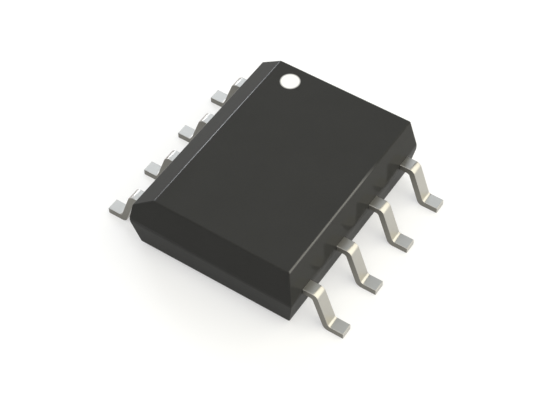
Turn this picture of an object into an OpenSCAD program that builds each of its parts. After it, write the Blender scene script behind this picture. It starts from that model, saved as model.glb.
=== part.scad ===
// Eight-lead small-outline package, narrow body, gull-wing leads
// Millimetres. The origin is the middle of the package on the plane its feet stand on:
// +X points at leads 5 to 8, +Y along the rows towards the pin 1 end, +Z up.

/* [Moulded body] */
// Length along the rows of leads, at the parting line
body_l = 4.97; // [4.2:0.01:6.2]
// Width between the rows of leads, at the parting line
body_w = 4.00; // [3.4:0.01:5.0]
// Height of the top face above the plane that the feet stand on
height = 1.75; // [1.5:0.01:2.3]
// Gap between the underside and the plane that the feet stand on
standoff = 0.10; // [0.05:0.01:0.25]
// Height of the parting line, which is also the middle of the leads' thickness
parting_z = 0.90; // [0.7:0.01:1.0]
// Draft of the walls, so that each half leaves its mould
draft = 10; // [4:0.5:15]
// Width of the chamfer along the pin 1 side, across the top face
chamfer_w = 0.45; // [0.2:0.01:0.6]
// Depth of that chamfer, down the side wall
chamfer_h = 0.40; // [0.2:0.01:0.5]
// Radius that the mould leaves on the top and bottom edges
edge_r = 0.04; // [0.01:0.005:0.05]
// Radius of the four upright corners
corner_r = 0.06; // [0.02:0.01:0.12]
// Radius that softens the parting line
parting_r = 0.45; // [0.1:0.05:1]
// Diameter of the ejector pin's mark under the body
ejector_d = 1.00; // [0.6:0.05:1.6]
// Depth of the ejector pin's mark
ejector_depth = 0.03; // [0.02:0.01:0.08]

/* [Pin 1 dot] */
// Diameter of the white dot
dot_d = 0.46; // [0.3:0.01:0.6]
// From the edge of the chamfer to the dot's centre
dot_from_chamfer = 0.51; // [0.35:0.01:0.8]
// From the end of the top face to the dot's centre
dot_from_end = 0.42; // [0.35:0.01:0.8]
// Depth of the ink in its shallow pocket
dot_depth = 0.02; // [0.015:0.005:0.05]

/* [Leads] */
// Distance between the middles of neighbouring leads
pitch = 1.27; // [1.0:0.01:1.55]
// Width of a lead outside the body
lead_w = 0.29; // [0.2:0.01:0.42]
// Thickness of the lead frame
lead_t = 0.15; // [0.1:0.01:0.2]
// From the parting line out to the corner where the lead turns down
shoulder = 0.31; // [0.25:0.01:0.5]
// How far the sloping leg runs outwards on its way down
leg_run = 0.29; // [0.2:0.01:0.5]
// Flat foot, from its heel corner to its tip
foot = 0.35; // [0.28:0.01:0.8]
// Radius on the inside of each bend
bend_inner_r = 0.07; // [0.03:0.01:0.1]
// Radius on the outside of each bend
bend_outer_r = 0.14; // [0.1:0.01:0.2]

/* [Lead fingers inside the body] */
// Depth of the narrow stem between the wall and the finger's head
stem = 0.25; // [0.15:0.01:0.28]
// Width of a finger's head
finger_w = 0.45; // [0.35:0.01:0.55]
// Gap between the fingers and the die pad
finger_gap = 0.20; // [0.12:0.01:0.25]
// From the tie bar's middle to the tips of the four corner fingers
corner_tip_x = 0.55; // [0.4:0.01:0.7]
// Sideways run of a corner finger's slanting stretch
corner_slant = 0.30; // [0.2:0.01:0.4]

/* [Die pad] */
// Length of the pad along the rows of leads
pad_l = 2.30; // [1.9:0.01:2.8]
// Width of the pad between the rows
pad_w = 2.30; // [1.9:0.01:2.8]
// How far the pad is pressed down below the leads
downset = 0.15; // [0.05:0.01:0.3]
// Width of the two tie bars that carry the pad
tie_bar_w = 0.25; // [0.15:0.01:0.4]
// Moulding compound that covers the end of each tie bar
tie_bar_cover = 0.12; // [0.08:0.01:0.3]

/* [Die and its wires] */
// Length of the silicon die along the rows
die_l = 1.60; // [1.0:0.01:2.0]
// Width of the die between the rows
die_w = 1.30; // [0.9:0.01:1.7]
// Thickness of the die
die_t = 0.25; // [0.15:0.01:0.32]
// Thickness of the silver epoxy under the die
attach_t = 0.025; // [0.02:0.005:0.05]
// Width of the epoxy that shows around the die
attach_rim = 0.05; // [0.02:0.01:0.1]
// Diameter of a bond wire
wire_d = 0.05; // [0.03:0.005:0.06]
// Diameter of the ball that welds the wire to the die
ball_d = 0.12; // [0.08:0.01:0.16]
// Height of that ball
ball_h = 0.045; // [0.03:0.005:0.06]
// Height of a wire's loop above the die
loop_h = 0.20; // [0.12:0.01:0.25]
// From the die's edge to the middle of a bond pad
bond_inset = 0.10; // [0.08:0.01:0.2]
// From a finger's edge to the end of its wire
stitch_inset = 0.15; // [0.1:0.01:0.2]

/* [Hidden] */
leads_per_side = 4;
lead_count = 2 * leads_per_side;
corner_y = pitch * (leads_per_side - 1) / 2;
exit_x = body_w / 2;
tip_x = exit_x + shoulder + leg_run + foot;
lead_top = parting_z + lead_t / 2;
lead_bottom = parting_z - lead_t / 2;
stem_x = exit_x - stem;
finger_x = pad_w / 2 + finger_gap;
finger_y = pad_l / 2 + finger_gap;
pad_top = lead_top - downset;
attach_top = pad_top + attach_t;
die_top = attach_top + die_t;
top_w = body_w - 2 * (height - parting_z) * tan(draft);
top_l = body_l - 2 * (height - parting_z) * tan(draft);
base_w = body_w - 2 * (parting_z - standoff) * tan(draft);
base_l = body_l - 2 * (parting_z - standoff) * tan(draft);
dot_x = -top_w / 2 + chamfer_w + dot_from_chamfer;
dot_y = top_l / 2 - dot_from_end;
chamfer_foot_x = -top_w / 2 - chamfer_h * tan(draft);
stitch_h = 0.02;
stitch_w = 0.08;
stitch_l = 0.05;
wire_sides = 8;
loop_steps = 9;
edge_steps = 3;
corner_facets = 3;
bend_steps = 6;
round_facets = 96;

function unit(v) = v / norm(v);
function lead_side(n) = n <= leads_per_side ? -1 : 1;
function lead_y(n) =
  n <= leads_per_side ? corner_y - pitch * (n - 1) : pitch * (n - leads_per_side - 1) - corner_y;
function is_corner(n) = abs(lead_y(n)) > corner_y - pitch / 2;
function end_sign(n) = lead_y(n) < 0 ? -1 : 1;

// Points of the arc of radius r that rounds the corner c, whose sides run from a and on to b
function corner_arc(c, a, b, r, steps) =
  let (
    u = unit(a - c),
    v = unit(b - c),
    half = acos(u * v) / 2,
    centre = c + unit(u + v) * r / sin(half),
    start = c + u * r / tan(half) - centre,
    turn = (2 * half - 180) * sign(cross(u, v))
  )
  [for (k = [0:steps])
    let (swing = atan2(start[1], start[0]) + turn * k / steps)
    centre + r * [cos(swing), sin(swing)]];

// Outline through the given points, each rounded by its own radius, or left sharp at 0
function rounded(points, radii, steps) =
  let (count = len(points))
  [for (i = [0:count - 1])
    each radii[i] == 0 ? [points[i]]
      : corner_arc(points[i], points[(i + count - 1) % count], points[(i + 1) % count], radii[i], steps)];

// Section across the rows: drafted walls above and below the parting line, one chamfer
module body_cross_section() {
  polygon(rounded(
    [
      [-base_w / 2, standoff], [base_w / 2, standoff], [body_w / 2, parting_z], [top_w / 2, height],
      [-top_w / 2 + chamfer_w, height], [chamfer_foot_x, height - chamfer_h], [-body_w / 2, parting_z]
    ],
    [edge_r, edge_r, parting_r, edge_r, edge_r, edge_r, parting_r],
    edge_steps
  ));
}

// Section along the rows, with the same draft and no chamfer
module body_long_section() {
  polygon(rounded(
    [
      [-base_l / 2, standoff], [base_l / 2, standoff], [body_l / 2, parting_z],
      [top_l / 2, height], [-top_l / 2, height], [-body_l / 2, parting_z]
    ],
    [edge_r, edge_r, parting_r, edge_r, edge_r, parting_r],
    edge_steps
  ));
}

// Everything beyond a plane that passes through a point and faces the given way
module beyond(point, facing) {
  translate(point)
    rotate([0, -asin(facing[2]), atan2(facing[1], facing[0])])
      translate([0, -body_l, -body_l]) cube(2 * body_l);
}

// What the rounding takes off the upright corners of the upper half, 1, or the lower half, -1.
// Each facet touches one small cylinder that leans with the two walls.
module off_the_corners(half) {
  for (sx = [-1, 1], sy = [-1, 1], k = [1:corner_facets]) {
    side_wall = [sx * cos(draft), 0, half * sin(draft)];
    end_wall = [0, sy * cos(draft), half * sin(draft)];
    bend = acos(side_wall * end_wall);
    part = bend * k / (corner_facets + 1);
    facing = (side_wall * sin(bend - part) + end_wall * sin(part)) / sin(bend);
    inset = corner_r / cos(draft);
    beyond([sx * (body_w / 2 - inset), sy * (body_l / 2 - inset), parting_z] + corner_r * facing, facing);
  }
}

// Outer form of the moulding, where both sections agree, with its upright corners rounded
module body_form() {
  difference() {
    intersection() {
      rotate([90, 0, 0]) linear_extrude(2 * body_l, center = true) body_cross_section();
      rotate([90, 0, 90]) linear_extrude(2 * body_w, center = true) body_long_section();
    }
    off_the_corners(1);
    off_the_corners(-1);
  }
}

// Moulding compound around everything that it holds
module mould_body() {
  color("#3f403e") difference() {
    body_form();
    dot_ink();
    for (n = [1:lead_count]) lead_form(n);
    pad_form();
    attach_form();
    die_form();
    for (n = [1:lead_count]) wire_form(n);
    translate([0, 0, standoff - ejector_depth]) cylinder(d = ejector_d, h = 2 * ejector_depth, $fn = round_facets);
  }
}

// Disc of white ink, level with the top face
module dot_ink() {
  translate([dot_x, dot_y, height - dot_depth]) cylinder(d = dot_d, h = dot_depth, $fn = round_facets);
}

module pin_one_dot() {
  color("#fdfdfb") dot_ink();
}

// Side view of the gull wing on the +X side: stem, shoulder, sloping leg and flat foot
module gull_wing_profile() {
  knee = [exit_x + shoulder, lead_top];
  ankle = [exit_x + shoulder + leg_run, lead_t];
  leg_angle = atan2(knee[1] - ankle[1], ankle[0] - knee[0]);
  inner_shift = [-lead_t * tan(leg_angle / 2), -lead_t];
  under_knee = knee + inner_shift;
  heel = ankle + inner_shift;
  polygon(rounded(
    [
      [stem_x, lead_top], knee, ankle, [tip_x, lead_t],
      [tip_x, 0], heel, under_knee, [stem_x, lead_bottom]
    ],
    [0, bend_outer_r, bend_inner_r, 0, 0, bend_outer_r, bend_inner_r, 0],
    bend_steps
  ));
}

// Plan of the finger of a middle lead: a wide head on the stem
module middle_finger_plan() {
  translate([finger_x, pitch / 2 - finger_w / 2]) square([stem_x - finger_x, finger_w]);
}

// Plan of a corner lead's finger, which slants in past the end of the pad
module corner_finger_plan() {
  near = corner_y - lead_w / 2;
  far = corner_y + lead_w / 2;
  bend_x = stem_x - corner_slant;
  polygon([
    [stem_x, near], [stem_x, far], [bend_x, far], [bend_x - corner_slant, finger_y + finger_w],
    [corner_tip_x, finger_y + finger_w], [corner_tip_x, finger_y],
    [bend_x - corner_slant, finger_y], [bend_x, near]
  ]);
}

// One whole lead: gull wing outside, finger inside, cut and bent from one strip
module lead_form(n) {
  mirror([lead_side(n) < 0 ? 1 : 0, 0, 0]) mirror([0, end_sign(n) < 0 ? 1 : 0, 0]) {
    translate([0, abs(lead_y(n)), 0])
      rotate([90, 0, 0]) linear_extrude(lead_w, center = true) gull_wing_profile();
    translate([0, 0, lead_bottom]) linear_extrude(lead_t) {
      if (is_corner(n)) corner_finger_plan();
      else middle_finger_plan();
    }
  }
}

module lead(n) {
  color("#c9c8c2") lead_form(n);
}

// Side view of one tie bar: level with the pad, up the downset, level with the leads
module tie_bar_profile() {
  start = pad_l / 2 - tie_bar_w;
  rise = pad_l / 2 + downset;
  stop = body_l / 2 - (lead_top - parting_z) * tan(draft) - tie_bar_cover;
  polygon([
    [start, pad_top - lead_t], [pad_l / 2, pad_top - lead_t], [rise, lead_bottom], [stop, lead_bottom],
    [stop, lead_top], [rise, lead_top], [pad_l / 2, pad_top], [start, pad_top]
  ]);
}

// Die pad with the tie bar that carries it at each end
module pad_form() {
  translate([-pad_w / 2, -pad_l / 2, pad_top - lead_t]) cube([pad_w, pad_l, lead_t]);
  for (end = [0, 1]) mirror([0, end, 0])
    rotate([90, 0, 90]) linear_extrude(tie_bar_w, center = true) tie_bar_profile();
}

module die_pad() {
  color("#c08457") pad_form();
}

// Film of silver epoxy that glues the die to its pad
module attach_form() {
  attach_l = die_l + 2 * attach_rim;
  attach_w = die_w + 2 * attach_rim;
  translate([-attach_w / 2, -attach_l / 2, pad_top]) cube([attach_w, attach_l, attach_t]);
}

module die_attach() {
  color("#b9b9b4") attach_form();
}

module die_form() {
  translate([-die_w / 2, -die_l / 2, attach_top]) cube([die_w, die_l, die_t]);
}

module die() {
  color("#5b6478") die_form();
}

// Bond pad on the die, in plan, that lead n is wired to
function bond_point(n) = [
  lead_side(n) * (die_w / 2 - bond_inset),
  end_sign(n) * (die_l / 2 - bond_inset) / (is_corner(n) ? 1 : 3)
];

// Start of the stitch on the finger of lead n, in plan
function stitch_point(n) = [
  lead_side(n) * (is_corner(n) ? corner_tip_x + finger_w / 2 : finger_x + stitch_inset),
  end_sign(n) * (is_corner(n) ? finger_y + stitch_inset : pitch / 2)
];

// Point at t along the loop, and its direction, as [distance from the ball, height]
function bezier(p, t) =
  pow(1 - t, 3) * p[0] + 3 * t * pow(1 - t, 2) * p[1] + 3 * t * t * (1 - t) * p[2] + pow(t, 3) * p[3];
function bezier_dir(p, t) =
  unit(pow(1 - t, 2) * (p[1] - p[0]) + 2 * t * (1 - t) * (p[2] - p[1]) + t * t * (p[3] - p[2]));

// One cross-section of a wire: place and direction in the loop's plane, then thickness and width
function ring(place, dir, thick, wide) = [place, dir, thick, wide];

// Sections from the flat of the ball, over the loop, to the flattened stitch
function wire_rings(run) =
  let (
    up = [0, 1],
    along = [1, 0],
    loop = [
      [0, die_top + ball_h], [0, die_top + 1.7 * loop_h],
      [0.4 * run, die_top + 1.3 * loop_h], [run - stitch_l, lead_top + wire_d]
    ]
  )
  concat(
    [
      ring([0, die_top], up, 0.75 * ball_d, 0.75 * ball_d),
      ring([0, die_top + 0.25 * ball_h], up, ball_d, ball_d),
      ring([0, die_top + 0.65 * ball_h], up, ball_d, ball_d)
    ],
    [for (i = [0:loop_steps]) ring(bezier(loop, i / loop_steps), bezier_dir(loop, i / loop_steps), wire_d, wire_d)],
    [
      ring([run, lead_top + stitch_h / 2], along, stitch_h, stitch_w),
      ring([run + stitch_l, lead_top + stitch_h / 2], along, stitch_h, stitch_w)
    ]
  );

// Corners of one section, an octagon with flats above and below
function ring_points(r, from, heading) =
  let (
    normal = [-r[1][1], r[1][0]],
    flat = 1 / cos(180 / wire_sides)
  )
  [for (k = [0:wire_sides - 1])
    let (
      turn = 360 * (k + 0.5) / wire_sides,
      lift = flat * r[2] / 2 * cos(turn),
      side = flat * r[3] / 2 * sin(turn),
      s = r[0][0] + normal[0] * lift,
      z = r[0][1] + normal[1] * lift
    )
    [from[0] + heading[0] * s - heading[1] * side, from[1] + heading[1] * s + heading[0] * side, z]];

// Gold wire, ball-bonded to the die and stitched to the finger of lead n
module wire_form(n) {
  from = bond_point(n);
  heading = unit(stitch_point(n) - from);
  rings = wire_rings(norm(stitch_point(n) - from));
  points = [for (r = rings) each ring_points(r, from, heading)];
  last = len(points) - wire_sides;
  polyhedron(points, concat(
    [[for (k = [0:wire_sides - 1]) k]],
    [for (i = [0:len(rings) - 2], k = [0:wire_sides - 1])
      let (a = i * wire_sides + k, b = i * wire_sides + (k + 1) % wire_sides)
      each [[a, a + wire_sides, b], [b, a + wire_sides, b + wire_sides]]],
    [[for (k = [wire_sides - 1:-1:0]) last + k]]
  ));
}

module bond_wire(n) {
  color("#e0b040") wire_form(n);
}

mould_body();
pin_one_dot();
lead(1);  // lead_1
lead(2);  // lead_2
lead(3);  // lead_3
lead(4);  // lead_4
lead(5);  // lead_5
lead(6);  // lead_6
lead(7);  // lead_7
lead(8);  // lead_8
die_pad();
die_attach();
die();
bond_wire(1);  // bond_wire_1
bond_wire(2);  // bond_wire_2
bond_wire(3);  // bond_wire_3
bond_wire(4);  // bond_wire_4
bond_wire(5);  // bond_wire_5
bond_wire(6);  // bond_wire_6
bond_wire(7);  // bond_wire_7
bond_wire(8);  // bond_wire_8
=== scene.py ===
"""Eight-lead small-outline package: the looks of every piece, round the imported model.

Metres throughout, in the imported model's frame: +X points at leads 5 to 8, +Y along the rows
towards the pin 1 end, +Z up, and the feet stand on the plane at 0.
"""

import math

import bmesh
import bpy
from bpy.props import FloatProperty, FloatVectorProperty, PointerProperty
from mathutils import Matrix, Vector


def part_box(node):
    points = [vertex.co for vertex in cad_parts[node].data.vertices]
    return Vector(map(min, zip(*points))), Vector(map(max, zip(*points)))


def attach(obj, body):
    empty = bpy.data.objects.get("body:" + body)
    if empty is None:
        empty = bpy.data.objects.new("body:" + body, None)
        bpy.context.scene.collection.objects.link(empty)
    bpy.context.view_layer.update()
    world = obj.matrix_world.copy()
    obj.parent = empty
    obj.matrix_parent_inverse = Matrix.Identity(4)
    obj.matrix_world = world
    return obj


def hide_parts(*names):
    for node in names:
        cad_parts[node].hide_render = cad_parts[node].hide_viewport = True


bl_info = {
    "name": "Small-outline package",
    "version": (1, 0, 0),
    "blender": (4, 5, 0),
    "location": "3D View > Sidebar > Package",
    "description": "Builds an eight-lead moulded package with gull-wing leads",
    "category": "Object",
}

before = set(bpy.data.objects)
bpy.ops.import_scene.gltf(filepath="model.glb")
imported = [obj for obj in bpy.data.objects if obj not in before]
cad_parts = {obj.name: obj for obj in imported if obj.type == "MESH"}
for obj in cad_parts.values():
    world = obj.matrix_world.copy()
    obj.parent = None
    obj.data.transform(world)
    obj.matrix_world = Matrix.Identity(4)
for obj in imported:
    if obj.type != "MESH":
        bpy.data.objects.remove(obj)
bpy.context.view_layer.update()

MM = 0.001
NEAR = 0.001 * MM
TOUCHING = 0.01 * NEAR
LEADS_PER_SIDE = 4
LEAD_NUMBERS = range(1, 2 * LEADS_PER_SIDE + 1)
BODY_LOW, BODY_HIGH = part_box("mould_body")
DOT_LOW, DOT_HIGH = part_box("pin_one_dot")
DOT_CENTRE = (DOT_LOW + DOT_HIGH) / 2
DOT_RADIUS = (DOT_HIGH.x - DOT_LOW.x) / 2
LEAD_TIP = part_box("lead_6")[1].x
PAD_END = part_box("die_pad")[1].x

# How many faces a rounded edge of the body, a bend of a lead, a small rim and a disc have
EDGE_SEGMENTS = 6
BEND_SEGMENTS = 12
RIM_SEGMENTS = 3
DISC_SEGMENTS = 96

# How much of a face's normal lies along an axis, where the face is level or looks along the rows
LEVEL = 0.99
SIDEWAYS = 0.9

# The blends of the long top edges rise and tilt more than this, and stray along the rows less than this
BLEND_RISE = 0.25
BLEND_TILT = 0.03
BLEND_STRAY = 0.01

# The edges of the strip are sharper than this, and the facets of its bends are not
RIM_ANGLE = math.radians(60)

# Places in the body's list of finishes, after the fine moulding, and in a lead's, after the tin plate
RUBBED, COARSE = 1, 2
SHEARED_PAINTED_SHADE, COPPER = 1, 2

# The mould is finer on its upper walls and chamfer, and coarser over the top and below the parting line
FINE_MOULD = {"roughness": 0.08, "gloss": 0.029, "grain_depth": 0.0006 * MM}
COARSE_MOULD = {"roughness": 0.4, "gloss": 0.028, "grain_depth": 0.0016 * MM}

WHITE = (1, 1, 1, 1)


def linear(code):
    """Linear red, green and blue of an sRGB colour written as hex."""
    values = [int(code[i:i + 2], 16) / 255 for i in (1, 3, 5)]
    return [v / 12.92 if v <= 0.04045 else ((v + 0.055) / 1.055) ** 2.4 for v in values]


def length(name, description, default):
    """A length that a user may set, in metres."""
    return FloatProperty(name=name, description=description, default=default, unit="LENGTH", precision=6)


def angle(name, description, degrees):
    """An angle that a user may set, in degrees."""
    return FloatProperty(name=name, description=description, default=math.radians(degrees), unit="ROTATION")


def colour(name, description, code):
    """A colour that a user may set, from its sRGB hex value."""
    return FloatVectorProperty(name=name, description=description, default=linear(code), subtype="COLOR",
                               size=3, min=0, max=1)


class MouldingSettings(bpy.types.PropertyGroup):
    """Sizes and colours of the moulded body and its dot."""

    width: length("Width", "Across the rows, where the walls meet at the parting line", 4.00 * MM)
    long: length("Length", "Along the rows, where the walls meet at the parting line", 4.97 * MM)
    base: length("Base height", "Height of the underside", BODY_LOW.z)
    top: length("Top height", "Height of the top face", BODY_HIGH.z)
    parting: length("Parting height", "Height of the parting line", 0.90 * MM)
    draft: angle("Draft", "Slope of the walls", 10)
    chamfer_width: length("Chamfer width", "Across the top face", 0.45 * MM)
    chamfer_depth: length("Chamfer depth", "Down the side wall", 0.40 * MM)
    edge_radius: length("Edge radius", "Of the top, bottom and chamfer edges", 0.04 * MM)
    corner_radius: length("Corner radius", "Of the upright corners", 0.025 * MM)
    parting_radius: length("Parting radius", "That softens the parting line", 0.45 * MM)
    ejector_diameter: length("Ejector mark", "Diameter of the ejector pin's mark under the body", 1.00 * MM)
    ejector_depth: length("Ejector depth", "Depth of the ejector pin's mark", 0.03 * MM)
    dot_rim: length("Dot rim", "Rounding of the ink's rim", 0.005 * MM)
    thin_rim: length("Thin rim", "Width of the ink's rim that the black shows through", 0.04 * MM)
    compound: colour("Compound", "Black moulding compound", "#343433")
    ink: colour("Ink", "White marking ink", "#e6e6e4")


class LeadSettings(bpy.types.PropertyGroup):
    """Sizes and colours of the lead frame."""

    thickness: length("Thickness", "Of the strip that the leads are cut from", 0.15 * MM)
    width: length("Width", "Of a lead outside the body", 0.29 * MM)
    pitch: length("Pitch", "Between neighbouring leads", 1.27 * MM)
    shoulder: length("Shoulder", "From the body to the corner where the lead turns down", 0.31 * MM)
    leg_run: length("Leg run", "How far the leg runs outwards on its way down", 0.29 * MM)
    inner_radius: length("Inner bend radius", "On the inside of each bend", 0.07 * MM)
    outer_radius: length("Outer bend radius", "On the outside of each bend", 0.14 * MM)
    rim: length("Edge rounding", "Left on the strip's edges by shearing and plating", 0.008 * MM)
    stem: length("Stem", "Depth of the narrow stem inside the wall", 0.25 * MM)
    plated: length("Plated depth", "How far the tin reaches in past the wall", 0.03 * MM)
    finger_width: length("Finger width", "Of the head inside the body", 0.45 * MM)
    finger_gap: length("Finger gap", "Between the fingers and the die pad", 0.20 * MM)
    corner_tip: length("Corner tip", "From the tie bar's middle to a corner finger's tip", 0.55 * MM)
    corner_slant: length("Corner slant", "Sideways run of a corner finger's slanting stretch", 0.30 * MM)
    tin: colour("Tin", "Matte tin plate", "#b6b4ae")
    # Darker than the tin: painted shade for the sides of the leads.
    sheared: colour("Sheared tin", "Plate over the sheared sides of the strip", "#84827c")
    copper: colour("Copper", "Bare copper alloy inside the body", "#c98a62")


class InsideSettings(bpy.types.PropertyGroup):
    """Colours of what the moulding hides."""

    silver: colour("Silver epoxy", "Die attach adhesive", "#b4b4ae")
    silicon: colour("Silicon", "The die", "#4a5166")
    gold: colour("Gold", "Bond wires", "#e3b04a")


class StageSettings(bpy.types.PropertyGroup):
    """Camera and studio."""

    azimuth: angle("Azimuth", "Of the camera, round the part", 33.734)
    elevation: angle("Elevation", "Of the camera, above the floor", 51.649)
    roll: angle("Roll", "Of the camera about its own axis", -0.560)
    distance: length("Distance", "From the aim point to the camera", 30.36 * MM)
    aim_height: length("Aim height", "Of the point that the camera is fitted to", 0.80 * MM)
    aim_right: length("Aim right", "Of the picture's middle from that point", 0.084 * MM)
    aim_up: length("Aim up", "Of the picture's middle from that point", -0.317 * MM)
    lens: FloatProperty(name="Lens", description="Focal length in millimetres, on a 36 mm sensor",
                        default=92.62)
    floor_size: length("Floor size", "Side of the floor", 2.0)
    floor: colour("Floor", "Pale studio floor", "#f8f8f8")
    glow: FloatProperty(name="Glow", description="Share of the floor's white that no shadow takes away",
                        default=0.5, min=0, max=1, subtype="FACTOR")
    air: FloatProperty(name="Air", description="Strength of the even light from all round",
                       default=0.1, min=0)


def add_node(tree, kind, inputs=None, **settings):
    """Adds a node with its own settings, and gives each named input its value or its link."""
    node = tree.nodes.new(kind)
    for name, value in settings.items():
        setattr(node, name, value)
    for name, value in (inputs or {}).items():
        if isinstance(value, bpy.types.NodeSocket):
            tree.links.new(value, node.inputs[name])
        else:
            node.inputs[name].default_value = value
    return node


def new_material(name, shader_values):
    """A material with its shader's own values set, then its tree, its shader and object coordinates."""
    material = bpy.data.materials.new(name)
    material.use_nodes = True
    tree = material.node_tree
    tree.nodes.clear()
    shader = add_node(tree, "ShaderNodeBsdfPrincipled", shader_values)
    add_node(tree, "ShaderNodeOutputMaterial", {"Surface": shader.outputs["BSDF"]})
    place = add_node(tree, "ShaderNodeTexCoord").outputs["Object"]
    return material, tree, shader, place


def per_metre(size):
    """Noise scale whose features are of the given size."""
    return 1 / size


def tint(tree, shader, fac, base, low, high):
    """Varies the base colour with a pattern, from low to high times the colour."""
    mix = add_node(tree, "ShaderNodeMix", {"Factor": fac}, data_type="RGBA")
    mix.inputs["A"].default_value = (*(low * c for c in base), 1)
    mix.inputs["B"].default_value = (*(high * c for c in base), 1)
    tree.links.new(mix.outputs["Result"], shader.inputs["Base Color"])


def spread(tree, value, socket, at_zero, at_one):
    """Turns a pattern's 0 to 1 into a range of values for a socket."""
    ranged = add_node(tree, "ShaderNodeMapRange", {"Value": value, "To Min": at_zero, "To Max": at_one})
    tree.links.new(ranged.outputs["Result"], socket)


def moulding_compound(name, settings, roughness, gloss, grain_depth):
    """Epoxy moulding compound, filled with fused silica: near-black, with the fine grain of a sparked mould.

    A finer mould leaves a face that mirrors the leads a little, and a coarser one leaves a dull face.
    """
    material, tree, shader, place = new_material(name, {"Roughness": roughness, "Specular IOR Level": gloss})
    # The filler's grains and the spark pits are mostly under 0.02 mm, so they are drawn coarser, to show.
    grain_size = 0.04 * MM
    cloud_size = 0.7 * MM
    grain_share = 0.4
    grain = add_node(tree, "ShaderNodeTexNoise", {
        "Vector": place, "Scale": per_metre(grain_size), "Detail": 2})
    cloud = add_node(tree, "ShaderNodeTexNoise", {
        "Vector": place, "Scale": per_metre(cloud_size), "Detail": 3})
    both = add_node(tree, "ShaderNodeMix", {
        "Factor": grain_share, "A": cloud.outputs["Fac"], "B": grain.outputs["Fac"]}, data_type="FLOAT")
    tint(tree, shader, both.outputs["Result"], settings.compound, low=0.9, high=1.1)
    bump = add_node(tree, "ShaderNodeBump", {
        "Height": grain.outputs["Fac"], "Strength": 1, "Distance": grain_depth})
    tree.links.new(bump.outputs["Normal"], shader.inputs["Normal"])
    return material


def rubbed_compound(settings):
    """The same compound on the long top edges, rubbed shiny by the tube it slides in: they catch the light.

    Over leads 5 to 8 the rub fades out towards the end that has the dot.
    """
    material, tree, shader, place = new_material("rubbed_compound", {})
    # Rub marks are a few thousandths of a millimetre wide, so they are drawn coarser, to show.
    rub_size = 0.05 * MM
    fade_starts = 0.08 * settings.width
    fade_ends = 0.25 * settings.width
    rubs = add_node(tree, "ShaderNodeTexNoise", {
        "Vector": place, "Scale": per_metre(rub_size), "Detail": 2})
    tint(tree, shader, rubs.outputs["Fac"], settings.compound, low=0.9, high=1.1)
    along = add_node(tree, "ShaderNodeSeparateXYZ", {"Vector": place})
    fade = add_node(tree, "ShaderNodeMapRange", {
        "Value": along.outputs["Y"], "From Min": fade_starts, "From Max": fade_ends})
    right = add_node(tree, "ShaderNodeMath", {0: along.outputs["X"], 1: 0.0}, operation="GREATER_THAN")
    faded = add_node(tree, "ShaderNodeMath", {
        0: fade.outputs["Result"], 1: right.outputs["Value"]}, operation="MULTIPLY")
    spread(tree, faded.outputs["Value"], shader.inputs["Roughness"], at_zero=0.26, at_one=0.8)
    # An export drops a linked specular level and shows 0.5, which is near enough on edges this narrow.
    spread(tree, faded.outputs["Value"], shader.inputs["Specular IOR Level"], at_zero=0.85, at_one=0.03)
    return material


def marking_ink(settings):
    """White epoxy ink, pad printed and cured: chalky, dull, and so thin at its rim that the black shows."""
    material, tree, shader, place = new_material("white_ink", {"Roughness": 0.6})
    # The pigment is under 0.001 mm, so its specks are drawn at the size of a pixel, to show.
    pigment_size = 0.02 * MM
    relief = 0.0005 * MM
    pigment = add_node(tree, "ShaderNodeTexNoise", {
        "Vector": place, "Scale": per_metre(pigment_size), "Detail": 3})
    tint(tree, shader, pigment.outputs["Fac"], settings.ink, low=0.97, high=1.0)
    white = shader.inputs["Base Color"].links[0].from_socket
    from_middle = add_node(tree, "ShaderNodeVectorMath", {0: place, 1: DOT_CENTRE}, operation="DISTANCE")
    thin = add_node(tree, "ShaderNodeMapRange", {
        "Value": from_middle.outputs["Value"], "From Min": DOT_RADIUS - settings.thin_rim,
        "From Max": DOT_RADIUS})
    film = add_node(tree, "ShaderNodeMix", {"Factor": thin.outputs["Result"]}, data_type="RGBA")
    tree.links.new(white, film.inputs["A"])
    film.inputs["B"].default_value = (*settings.compound, 1)
    tree.links.new(film.outputs["Result"], shader.inputs["Base Color"])
    bump = add_node(tree, "ShaderNodeBump", {
        "Height": pigment.outputs["Fac"], "Strength": 1, "Distance": relief})
    tree.links.new(bump.outputs["Normal"], shader.inputs["Normal"])
    return material


def strip_lines(tree, place, line_width, line_length):
    """Streaks that run along the strip on its faces, whichever way it is bent."""
    stretch = add_node(tree, "ShaderNodeMapping", {
        "Vector": place, "Scale": (per_metre(line_length), per_metre(line_width), per_metre(line_length))})
    return add_node(tree, "ShaderNodeTexNoise", {
        "Vector": stretch.outputs["Vector"], "Scale": 1, "Detail": 2})


def tin_plate(settings):
    """Matte tin, electroplated over rolled strip: pale, soft, slightly warm, with rolling lines under it."""
    material, tree, shader, place = new_material("tin_plate", {"Metallic": 1, "Roughness": 0.35})
    # Rolling lines and tin crystals are under 0.01 mm, so they are drawn coarser, to show.
    line_width = 0.02 * MM
    line_length = 0.3 * MM
    crystal_size = 0.025 * MM
    crystal_share = 0.5
    lines = strip_lines(tree, place, line_width, line_length)
    crystal = add_node(tree, "ShaderNodeTexNoise", {
        "Vector": place, "Scale": per_metre(crystal_size), "Detail": 3})
    both = add_node(tree, "ShaderNodeMix", {
        "Factor": crystal_share, "A": lines.outputs["Fac"], "B": crystal.outputs["Fac"]}, data_type="FLOAT")
    tint(tree, shader, both.outputs["Result"], settings.tin, low=0.92, high=1.08)
    return material


def sheared_tin_painted_shade(settings):
    """Matte tin over the strip's sheared sides, torn and rough from the press; the darker colour is painted
    shade.
    """
    material, tree, shader, place = new_material("sheared_tin_painted_shade", {"Metallic": 1, "Roughness": 0.5})
    # The tears are under 0.01 mm wide, so they are drawn coarser, to show.
    tear_size = 0.02 * MM
    tears = add_node(tree, "ShaderNodeTexNoise", {
        "Vector": place, "Scale": per_metre(tear_size), "Detail": 4})
    tint(tree, shader, tears.outputs["Fac"], settings.sheared, low=0.85, high=1.15)
    return material


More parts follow.
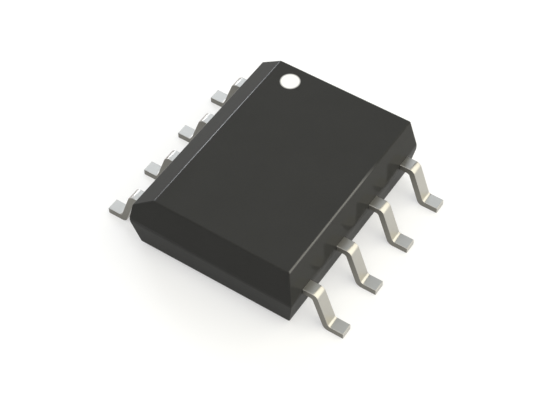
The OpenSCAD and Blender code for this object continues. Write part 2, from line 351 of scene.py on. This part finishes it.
def bare_copper(settings):
    """Rolled copper alloy, bare where the compound covers it: warm, with fine lines along the strip."""
    material, tree, shader, place = new_material("copper", {"Metallic": 1, "Roughness": 0.4})
    # Rolling lines are under 0.01 mm wide, so they are drawn coarser, to show.
    line_width = 0.015 * MM
    line_length = 0.4 * MM
    lines = strip_lines(tree, place, line_width, line_length)
    tint(tree, shader, lines.outputs["Fac"], settings.copper, low=0.85, high=1.15)
    return material


def silver_epoxy(settings):
    """Cured epoxy filled with silver flake: grey, dull and slightly sparkling."""
    material, tree, shader, place = new_material("silver_epoxy", {"Metallic": 0.7, "Roughness": 0.55})
    flake_size = 0.012 * MM
    flakes = add_node(tree, "ShaderNodeTexVoronoi", {"Vector": place, "Scale": per_metre(flake_size)})
    tint(tree, shader, flakes.outputs["Distance"], settings.silver, low=0.8, high=1.15)
    return material


def polished_silicon(settings):
    """Silicon, sawn from a polished wafer: dark, blue-grey and glossy."""
    material, tree, shader, place = new_material("silicon", {"Roughness": 0.12, "IOR": 3.4})
    saw_mark = 0.01 * MM
    saw = add_node(tree, "ShaderNodeTexNoise", {
        "Vector": place, "Scale": per_metre(saw_mark), "Detail": 2})
    tint(tree, shader, saw.outputs["Fac"], settings.silicon, low=0.9, high=1.1)
    return material


def drawn_gold(settings):
    """Gold wire, drawn through a die: bright and yellow, with a faint mottle left by the drawing."""
    material, tree, shader, place = new_material("gold", {"Metallic": 1, "Roughness": 0.25})
    # The real marks are under 0.001 mm, so they are drawn coarser, to show.
    mottle_size = 0.01 * MM
    mottle = add_node(tree, "ShaderNodeTexNoise", {
        "Vector": place, "Scale": per_metre(mottle_size), "Detail": 2})
    tint(tree, shader, mottle.outputs["Fac"], settings.gold, low=0.9, high=1.1)
    return material


def add_piece(name, shape, materials):
    """A new piece from its bmesh, with its finishes, riding on the part's one body."""
    mesh = bpy.data.meshes.new(name)
    bmesh.ops.recalc_face_normals(shape, faces=shape.faces)
    shape.to_mesh(mesh)
    shape.free()
    for material in materials:
        mesh.materials.append(material)
    piece = bpy.data.objects.new(name, mesh)
    bpy.context.scene.collection.objects.link(piece)
    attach(piece, "root")
    return piece


def apply_modifiers(piece):
    """Keeps the piece's mesh as its modifiers leave it."""
    evaluated = piece.evaluated_get(bpy.context.evaluated_depsgraph_get())
    finished = bpy.data.meshes.new_from_object(evaluated)
    piece.modifiers.clear()
    piece.data = finished


def smooth_the_blends(piece, narrow):
    """Shades the narrow faces of rounded edges and bends as one curve, and leaves the wide faces flat."""
    for face in piece.data.polygons:
        corners = [piece.data.vertices[i].co for i in face.vertices]
        longest = max((a - b).length for a, b in zip(corners, corners[1:] + corners[:1]))
        face.use_smooth = face.area < narrow * longest


def bevel(shape, geometry, offset, segments, affect="EDGES"):
    """Rounds the given edges, or the given corners of a flat face."""
    bmesh.ops.bevel(shape, geom=geometry, offset=offset, offset_type="OFFSET", affect=affect,
                    segments=segments, profile=0.5, material=-1, clamp_overlap=True)


def everything(shape):
    """All the vertices, edges and faces of a shape."""
    return [*shape.verts, *shape.edges, *shape.faces]


def edges_of(geometry):
    """The edges among what an operator made."""
    return [g for g in geometry if isinstance(g, bmesh.types.BMEdge)]


def verts_of(geometry):
    """The vertices among what an operator made."""
    return [g for g in geometry if isinstance(g, bmesh.types.BMVert)]


def body_shape(s):
    """Drafted block, parted at its middle height, with one long chamfer."""
    shape = bmesh.new()
    slope = math.tan(s.draft)
    narrow_top = 2 * (s.top - s.parting) * slope
    narrow_base = 2 * (s.parting - s.base) * slope
    bmesh.ops.create_cube(shape, size=1)
    bmesh.ops.scale(shape, vec=(s.width, s.long, s.top - s.base), verts=shape.verts)
    bmesh.ops.translate(shape, vec=(0, 0, (s.top + s.base) / 2), verts=shape.verts)
    bmesh.ops.bisect_plane(shape, geom=everything(shape), plane_co=(0, 0, s.parting), plane_no=(0, 0, 1))
    for height, narrow in ((s.top, narrow_top), (s.base, narrow_base)):
        level = [v for v in shape.verts if abs(v.co.z - height) < NEAR]
        bmesh.ops.scale(shape, vec=(1 - narrow / s.width, 1 - narrow / s.long, 1), verts=level)
    edge_x = (narrow_top - s.width) / 2
    chamfer_top = Vector((edge_x + s.chamfer_width, 0, s.top))
    chamfer_foot = Vector((edge_x - s.chamfer_depth * slope, 0, s.top - s.chamfer_depth))
    down = chamfer_foot - chamfer_top
    cut = bmesh.ops.bisect_plane(shape, geom=everything(shape), plane_co=chamfer_top,
                                 plane_no=(down.z, 0, -down.x), clear_outer=True)
    bmesh.ops.contextual_create(shape, geom=edges_of(cut["geom_cut"]))
    return shape


def edge_radius(edge, s):
    """Radius of one edge of the body: soft at the parting line, tight up the corners."""
    run = abs(edge.verts[0].co.x - edge.verts[1].co.x)
    low, high = sorted(v.co.z for v in edge.verts)
    if abs(low - s.parting) < NEAR and abs(high - s.parting) < NEAR:
        return s.parting_radius
    return s.corner_radius if high - low > 2 * run + NEAR else s.edge_radius


def round_the_edges(piece, s):
    """Rounds each edge by its own radius, through its share of the widest blend."""
    shape = bmesh.new()
    shape.from_mesh(piece.data)
    shares = shape.edges.layers.float.new("bevel_weight_edge")
    reach = {e: edge_radius(e, s) * math.tan(e.calc_face_angle() / 2) for e in shape.edges}
    widest = max(reach.values())
    for edge, distance in reach.items():
        edge[shares] = distance / widest
    shape.to_mesh(piece.data)
    shape.free()
    rounding = piece.modifiers.new("rounded edges", "BEVEL")
    rounding.limit_method = "WEIGHT"
    rounding.width = widest
    rounding.segments = EDGE_SEGMENTS
    rounding.profile = 0.5
    rounding.material = -1
    apply_modifiers(piece)


def finish_the_faces(piece, s):
    """Rubs the long top edges, and makes the top face and all below the parting line coarse."""
    for face in piece.data.polygons:
        n = face.normal
        on_top_edge = face.use_smooth and n.z > BLEND_RISE and abs(n.x) > BLEND_TILT
        if on_top_edge and abs(n.y) < BLEND_STRAY:
            face.material_index = RUBBED
        elif face.center.z < s.parting or n.z > LEVEL:
            face.material_index = COARSE


def disc_shape(centre, low, high, radius):
    """Round disc between two heights."""
    shape = bmesh.new()
    bmesh.ops.create_cone(shape, cap_ends=True, segments=DISC_SEGMENTS, radius1=radius, radius2=radius,
                          depth=high - low)
    bmesh.ops.translate(shape, vec=(centre[0], centre[1], (low + high) / 2), verts=shape.verts)
    return shape


def merged_copy(node):
    """A CAD node's own shape as one closed mesh."""
    shape = bmesh.new()
    shape.from_mesh(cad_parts[node].data)
    bmesh.ops.remove_doubles(shape, verts=shape.verts, dist=TOUCHING)
    return shape


def hollow_out(piece, shapes):
    """Takes each shape out of the piece."""
    cutters = []
    for shape in shapes:
        bmesh.ops.recalc_face_normals(shape, faces=shape.faces)
        mesh = bpy.data.meshes.new("cutter")
        shape.to_mesh(mesh)
        shape.free()
        cutter = bpy.data.objects.new("cutter", mesh)
        bpy.context.scene.collection.objects.link(cutter)
        cut = piece.modifiers.new("hollow", "BOOLEAN")
        cut.operation = "DIFFERENCE"
        cut.solver = "EXACT"
        cut.object = cutter
        cutters.append(cutter)
    apply_modifiers(piece)
    for cutter in cutters:
        bpy.data.objects.remove(cutter)


def lead_side(n):
    """Which way a lead points along X."""
    return -1 if n <= LEADS_PER_SIDE else 1


def lead_y(n, pitch):
    """Place of a lead along its row, counted round the body from the dot."""
    corner = pitch * (LEADS_PER_SIDE - 1) / 2
    return corner - pitch * (n - 1) if n <= LEADS_PER_SIDE else pitch * (n - LEADS_PER_SIDE - 1) - corner


def extrude_to(shape, face, x, low, high):
    """Pulls a lead's end face on to a station inside the body, with its sides at two places along the row."""
    middle = face.calc_center_median().y
    made = bmesh.ops.extrude_face_region(shape, geom=[face])["geom"]
    bmesh.ops.delete(shape, geom=[face], context="FACES_ONLY")
    for v in verts_of(made):
        v.co.x = x
        v.co.y = low if v.co.y < middle else high
    return next(g for g in made if isinstance(g, bmesh.types.BMFace))


def gull_wing_outline(s, m):
    """Corners of a lead's side view, from its stem round the tip and back, with the bends still sharp."""
    exit_x = m.width / 2
    stem_x = exit_x - s.stem
    strip_top = m.parting + s.thickness / 2
    strip_base = m.parting - s.thickness / 2
    knee = Vector((exit_x + s.shoulder, strip_top))
    ankle = Vector((exit_x + s.shoulder + s.leg_run, s.thickness))
    turn = math.atan2(knee.y - ankle.y, ankle.x - knee.x)
    inner_shift = Vector((-s.thickness * math.tan(turn / 2), -s.thickness))
    outline = [
        Vector((stem_x, strip_top)),
        knee,
        ankle,
        Vector((LEAD_TIP, s.thickness)),
        Vector((LEAD_TIP, 0)),
        ankle + inner_shift,
        knee + inner_shift,
        Vector((stem_x, strip_base)),
    ]
    return outline, turn


def lead_shape(n, s, m):
    """One lead, bent from flat strip outside the body, with its finger inside."""
    shape = bmesh.new()
    corner = s.pitch * (LEADS_PER_SIDE - 1) / 2
    y = abs(lead_y(n, s.pitch))
    low, high = y - s.width / 2, y + s.width / 2
    outline, turn = gull_wing_outline(s, m)
    corners = [shape.verts.new((p.x, low, p.y)) for p in outline]
    shape.faces.new(corners)
    knee, ankle, heel, under_knee = corners[1], corners[2], corners[5], corners[6]
    for bends, radius in (((knee, heel), s.outer_radius), ((ankle, under_knee), s.inner_radius)):
        bevel(shape, list(bends), radius * math.tan(turn / 2), BEND_SEGMENTS, affect="VERTICES")
    made = bmesh.ops.extrude_face_region(shape, geom=shape.faces[:])["geom"]
    bmesh.ops.translate(shape, vec=(0, s.width, 0), verts=verts_of(made))
    stem_x = outline[0].x
    end = next(f for f in shape.faces if all(abs(v.co.x - stem_x) < NEAR for v in f.verts))
    past_the_pad = PAD_END + s.finger_gap
    if y < corner - s.pitch / 2:
        finger_low, finger_high = y - s.finger_width / 2, y + s.finger_width / 2
        end = extrude_to(shape, end, stem_x, finger_low, finger_high)
        extrude_to(shape, end, past_the_pad, finger_low, finger_high)
    else:
        bend_x = stem_x - s.corner_slant
        end = extrude_to(shape, end, bend_x, low, high)
        end = extrude_to(shape, end, bend_x - s.corner_slant, past_the_pad, past_the_pad + s.finger_width)
        extrude_to(shape, end, s.corner_tip, past_the_pad, past_the_pad + s.finger_width)
    bmesh.ops.dissolve_degenerate(shape, dist=NEAR, edges=shape.edges)
    plating_ends = m.width / 2 - s.plated
    bmesh.ops.bisect_plane(shape, geom=everything(shape), plane_co=(plating_ends, 0, 0), plane_no=(1, 0, 0))
    bmesh.ops.recalc_face_normals(shape, faces=shape.faces)
    outside = [e for e in shape.edges if all(v.co.x > plating_ends - NEAR for v in e.verts)]
    rims = [e for e in outside if e.calc_face_angle(0) > RIM_ANGLE]
    bevel(shape, rims, s.rim, RIM_SEGMENTS)
    shape.normal_update()
    for face in shape.faces:
        if face.calc_center_median().x < plating_ends:
            face.material_index = COPPER
        elif abs(face.normal.y) > SIDEWAYS:
            # The sides along the rows take the darker tin, which is painted shade.
            face.material_index = SHEARED_PAINTED_SHADE
    bmesh.ops.scale(shape, vec=(lead_side(n), math.copysign(1, lead_y(n, s.pitch)), 1), verts=shape.verts)
    return shape


class PACKAGE_OT_stage(bpy.types.Operator):
    """Sets the camera, the floor, the lamps and the world"""

    bl_idname = "package.stage"
    bl_label = "Stage"

    def execute(self, context):
        s = context.scene.package_stage
        place_camera(s)
        lay_floor(s)
        hang_lamps()
        colour_world(s)
        context.scene.view_settings.view_transform = "Standard"
        return {"FINISHED"}


def place_camera(s):
    """Camera at the photograph's viewing angle, for a picture of 560 by 400."""
    back = Vector((math.sin(s.azimuth) * math.cos(s.elevation), -math.cos(s.azimuth) * math.cos(s.elevation),
                   math.sin(s.elevation)))
    level = Vector((math.cos(s.azimuth), math.sin(s.azimuth), 0))
    upright = back.cross(level)
    right = level * math.cos(s.roll) + upright * math.sin(s.roll)
    up = upright * math.cos(s.roll) - level * math.sin(s.roll)
    place = Vector((0, 0, s.aim_height)) + back * s.distance + right * s.aim_right + up * s.aim_up
    data = bpy.data.cameras.new("camera")
    data.lens = s.lens
    data.sensor_width = 36
    data.clip_start = 1 * MM
    data.clip_end = 10
    camera = bpy.data.objects.new("camera", data)
    camera.matrix_world = Matrix.Translation(place) @ Matrix((right, up, back)).transposed().to_4x4()
    bpy.context.scene.collection.objects.link(camera)
    bpy.context.scene.camera = camera


def studio_floor(s):
    """Pale matt board that glows a little in itself, so that its shadows stay light, as on a light table.

    It is clear from below, so that the underside can be seen.
    """
    material, tree, shader, _ = new_material("studio_floor", {
        "Base Color": (*s.floor, 1), "Roughness": 0.9, "Specular IOR Level": 0})
    path = add_node(tree, "ShaderNodeLightPath").outputs
    direct = add_node(tree, "ShaderNodeMath", {
        0: path["Is Camera Ray"], 1: path["Is Glossy Ray"]}, operation="ADD")
    seen = add_node(tree, "ShaderNodeMath", {
        0: direct.outputs["Value"], 1: path["Is Transmission Ray"]}, operation="ADD")
    share = add_node(tree, "ShaderNodeMath", {0: seen.outputs["Value"], 1: s.glow}, operation="MULTIPLY")
    white = add_node(tree, "ShaderNodeEmission", {"Color": WHITE, "Strength": 1}).outputs["Emission"]
    lit = add_node(tree, "ShaderNodeMixShader", {
        "Fac": share.outputs["Value"], 1: shader.outputs["BSDF"], 2: white})
    behind = add_node(tree, "ShaderNodeNewGeometry").outputs["Backfacing"]
    clear = add_node(tree, "ShaderNodeBsdfTransparent").outputs["BSDF"]
    one_sided = add_node(tree, "ShaderNodeMixShader", {"Fac": behind, 1: lit.outputs["Shader"], 2: clear})
    output = next(n for n in tree.nodes if n.type == "OUTPUT_MATERIAL")
    tree.links.new(one_sided.outputs["Shader"], output.inputs["Surface"])
    return material


def lay_floor(s):
    """Lays the floor just under the feet."""
    shape = bmesh.new()
    bmesh.ops.create_grid(shape, x_segments=1, y_segments=1, size=s.floor_size / 2)
    bmesh.ops.translate(shape, vec=(0, 0, -NEAR), verts=shape.verts)
    mesh = bpy.data.meshes.new("floor")
    shape.to_mesh(mesh)
    shape.free()
    mesh.materials.append(studio_floor(s))
    floor = bpy.data.objects.new("floor", mesh)
    bpy.context.scene.collection.objects.link(floor)


# Name, bearing from +Y, height and width of the disc in degrees, radiance, colour
LAMPS = (
    ("key", 64, 34, 80, 2.25, "#fffcee"),
    ("over", 0, 90, 40, 1.25, "#fffdea"),
    ("front", 180, 72, 50, 1.9, "#ffffff"),
    ("back", 322, 36, 44, 1.85, "#ecf4ff"),
    ("left", 260, 20, 56, 0.6, "#ffffff"),
    ("left rim", 303, 24, 20, 6.0, "#f8f8ff"),
)


def hang_lamps():
    """Hangs the softboxes, which are so far off that each is a bright disc of sky."""
    for name, bearing, height, disc, radiance, code in LAMPS:
        data = bpy.data.lights.new(name, "SUN")
        data.angle = math.radians(disc)
        data.energy = radiance * math.pi * math.sin(data.angle / 2) ** 2
        data.color = linear(code)
        lamp = bpy.data.objects.new(name, data)
        a, e = math.radians(bearing), math.radians(height)
        towards = Vector((math.sin(a) * math.cos(e), math.cos(a) * math.cos(e), math.sin(e)))
        lamp.rotation_euler = towards.to_track_quat("Z", "Y").to_euler()
        bpy.context.scene.collection.objects.link(lamp)


def colour_world(s):
    """Fills the room with faint, even white light."""
    world = bpy.data.worlds.new("studio")
    world.use_nodes = True
    tree = world.node_tree
    tree.nodes.clear()
    air = add_node(tree, "ShaderNodeBackground", {"Color": WHITE, "Strength": s.air})
    add_node(tree, "ShaderNodeOutputWorld", {"Surface": air.outputs["Background"]})
    bpy.context.scene.world = world


class PACKAGE_OT_body(bpy.types.Operator):
    """Models the moulded body round everything that it holds"""

    bl_idname = "package.body"
    bl_label = "Moulded body"

    def execute(self, context):
        s = context.scene.package_moulding
        finishes = [
            moulding_compound("fine_moulded", s, **FINE_MOULD),
            rubbed_compound(s),
            moulding_compound("coarse_moulded", s, **COARSE_MOULD),
        ]
        piece = add_piece("moulding", body_shape(s), finishes)
        round_the_edges(piece, s)
        smooth_the_blends(piece, narrow=s.edge_radius)
        finish_the_faces(piece, s)
        # Both cutters run on past the face that they open in, by as much as they are deep.
        pocket = disc_shape(DOT_CENTRE, DOT_LOW.z, 2 * DOT_HIGH.z - DOT_LOW.z, DOT_RADIUS)
        mark = disc_shape((0, 0), s.base - s.ejector_depth, s.base + s.ejector_depth, s.ejector_diameter / 2)
        held = [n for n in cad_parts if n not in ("mould_body", "pin_one_dot")]
        hollow_out(piece, [pocket, mark, *(merged_copy(n) for n in sorted(held))])
        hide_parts("mould_body")
        return {"FINISHED"}


class PACKAGE_OT_dot(bpy.types.Operator):
    """Prints the white dot beside lead 1"""

    bl_idname = "package.dot"
    bl_label = "Pin 1 dot"

    def execute(self, context):
        s = context.scene.package_moulding
        shape = disc_shape(DOT_CENTRE, DOT_LOW.z, DOT_HIGH.z, DOT_RADIUS)
        rim = [e for e in shape.edges if all(v.co.z > DOT_HIGH.z - NEAR for v in e.verts)]
        bevel(shape, rim, s.dot_rim, RIM_SEGMENTS)
        piece = add_piece("printed_dot", shape, [marking_ink(s)])
        smooth_the_blends(piece, narrow=2 * (DOT_HIGH.z - DOT_LOW.z))
        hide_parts("pin_one_dot")
        return {"FINISHED"}


class PACKAGE_OT_leads(bpy.types.Operator):
    """Models the eight gull-wing leads with their fingers"""

    bl_idname = "package.leads"
    bl_label = "Leads"

    def execute(self, context):
        s = context.scene.package_leads
        m = context.scene.package_moulding
        finishes = [tin_plate(s), sheared_tin_painted_shade(s), bare_copper(s)]
        for n in LEAD_NUMBERS:
            piece = add_piece(f"gull_wing_{n}", lead_shape(n, s, m), finishes)
            smooth_the_blends(piece, narrow=0.2 * s.thickness)
            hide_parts(f"lead_{n}")
        return {"FINISHED"}


class PACKAGE_OT_inside(bpy.types.Operator):
    """Finishes the die, its pad, its adhesive and the bond wires, which keep their CAD shapes"""

    bl_idname = "package.inside"
    bl_label = "Die and wires"

    def execute(self, context):
        s = context.scene.package_inside
        finishes = {
            "die_pad": bpy.data.materials["copper"],
            "die_attach": silver_epoxy(s),
            "die": polished_silicon(s),
            **dict.fromkeys((f"bond_wire_{n}" for n in LEAD_NUMBERS), drawn_gold(s)),
        }
        for node, finish in finishes.items():
            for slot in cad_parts[node].material_slots:
                slot.material = finish
        return {"FINISHED"}


class PACKAGE_PT_sidebar(bpy.types.Panel):
    """Lists what builds the package"""

    bl_idname = "PACKAGE_PT_sidebar"
    bl_label = "Small-outline package"
    bl_space_type = "VIEW_3D"
    bl_region_type = "UI"
    bl_category = "Package"

    def draw(self, context):
        for operator in OPERATORS:
            self.layout.operator(operator.bl_idname)


OPERATORS = (PACKAGE_OT_stage, PACKAGE_OT_body, PACKAGE_OT_dot, PACKAGE_OT_leads, PACKAGE_OT_inside)
SETTINGS = {
    "package_moulding": MouldingSettings,
    "package_leads": LeadSettings,
    "package_inside": InsideSettings,
    "package_stage": StageSettings,
}
CLASSES = (*SETTINGS.values(), *OPERATORS, PACKAGE_PT_sidebar)


def register():
    """Makes the settings, operators and panel known to Blender."""
    for kind in CLASSES:
        bpy.utils.register_class(kind)
    for name, kind in SETTINGS.items():
        setattr(bpy.types.Scene, name, PointerProperty(type=kind))


def unregister():
    """Takes them all away again."""
    for name in SETTINGS:
        delattr(bpy.types.Scene, name)
    for kind in reversed(CLASSES):
        bpy.utils.unregister_class(kind)


def main():
    """Builds the stage and every piece in order."""
    register()
    bpy.ops.package.stage()
    bpy.ops.package.body()
    bpy.ops.package.dot()
    bpy.ops.package.leads()
    bpy.ops.package.inside()


if __name__ == "__main__":
    main()
